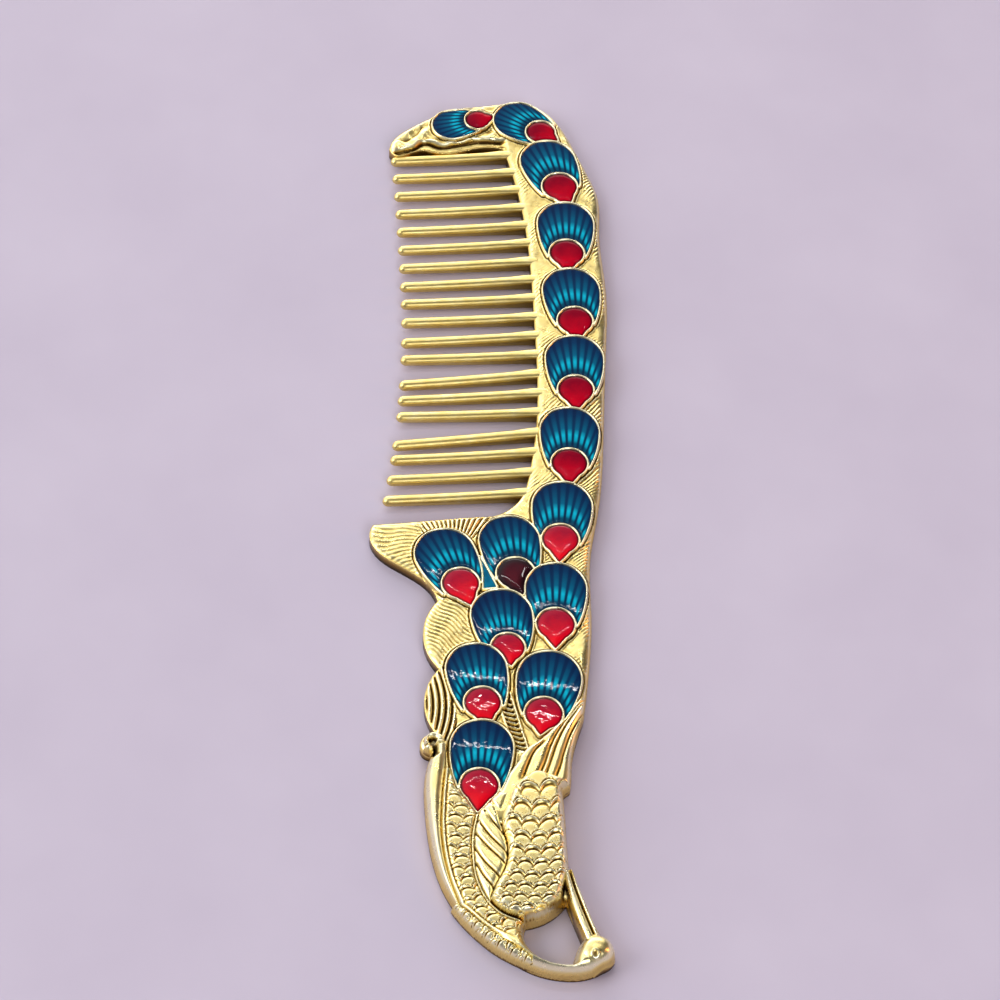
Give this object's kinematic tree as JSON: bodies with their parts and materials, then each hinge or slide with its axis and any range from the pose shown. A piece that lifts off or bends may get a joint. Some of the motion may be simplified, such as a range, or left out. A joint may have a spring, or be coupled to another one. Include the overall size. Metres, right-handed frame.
{
  "type": "decorative hair comb",
  "caption": "Side hair comb with a peacock-shaped gilt casting, slender teeth, and blue and red enamelled tail feathers.",
  "frame": {"origin": "centre of the footprint, on the flat back (z = 0)", "axes": "+Y from the peacock's head to the top guard, -X the way the teeth point, +Z out of the enamelled face"},
  "size_m": [0.0441, 0.1834, 0.006],
  "materials": {
    "gold_plate": "bright pale gold plating, darkened in the recesses",
    "blue_enamel": "glossy ribbed enamel, navy to cyan",
    "red_enamel": "glossy domed enamel"
  },
  "bodies": {
    "root": {"comb_frame": "gold_plate", "eye_enamel_01": "red_enamel", "eye_enamel_02": "red_enamel", "eye_enamel_03": "red_enamel", "eye_enamel_04": "red_enamel", "eye_enamel_05": "red_enamel", "eye_enamel_06": "red_enamel", "eye_enamel_07": "red_enamel", "eye_enamel_08": "red_enamel", "eye_enamel_09": "red_enamel", "eye_enamel_10": "red_enamel", "eye_enamel_11": "red_enamel", "eye_enamel_12": "red_enamel", "eye_enamel_13": "red_enamel", "eye_enamel_14": "red_enamel", "eye_enamel_15": "red_enamel", "fan_enamel_01": "blue_enamel", "fan_enamel_02": "blue_enamel", "fan_enamel_03": "blue_enamel", "fan_enamel_04": "blue_enamel", "fan_enamel_05": "blue_enamel", "fan_enamel_06": "blue_enamel", "fan_enamel_07": "blue_enamel", "fan_enamel_08": "blue_enamel", "fan_enamel_09": "blue_enamel", "fan_enamel_10": "blue_enamel", "fan_enamel_11": "blue_enamel", "fan_enamel_12": "blue_enamel", "fan_enamel_13": "blue_enamel", "fan_enamel_14": "blue_enamel", "fan_enamel_15": "blue_enamel", "filler_enamel": "blue_enamel", "peacock_beak": "gold_plate", "peacock_body": "gold_plate", "peacock_head": "gold_plate", "peacock_neck": "gold_plate", "scroll_band": "gold_plate", "tooth_01": "gold_plate", "tooth_02": "gold_plate", "tooth_03": "gold_plate", "tooth_04": "gold_plate", "tooth_05": "gold_plate", "tooth_06": "gold_plate", "tooth_07": "gold_plate", "tooth_08": "gold_plate", "tooth_09": "gold_plate", "tooth_10": "gold_plate", "tooth_11": "gold_plate", "tooth_12": "gold_plate", "tooth_13": "gold_plate", "tooth_14": "gold_plate", "tooth_15": "gold_plate", "tooth_16": "gold_plate", "tooth_17": "gold_plate", "tooth_18": "gold_plate", "tooth_19": "gold_plate", "wing_covert_inner": "gold_plate", "wing_covert_left": "gold_plate", "wing_covert_middle": "gold_plate", "wing_covert_outer": "gold_plate"}
  },
  "joints": []
}
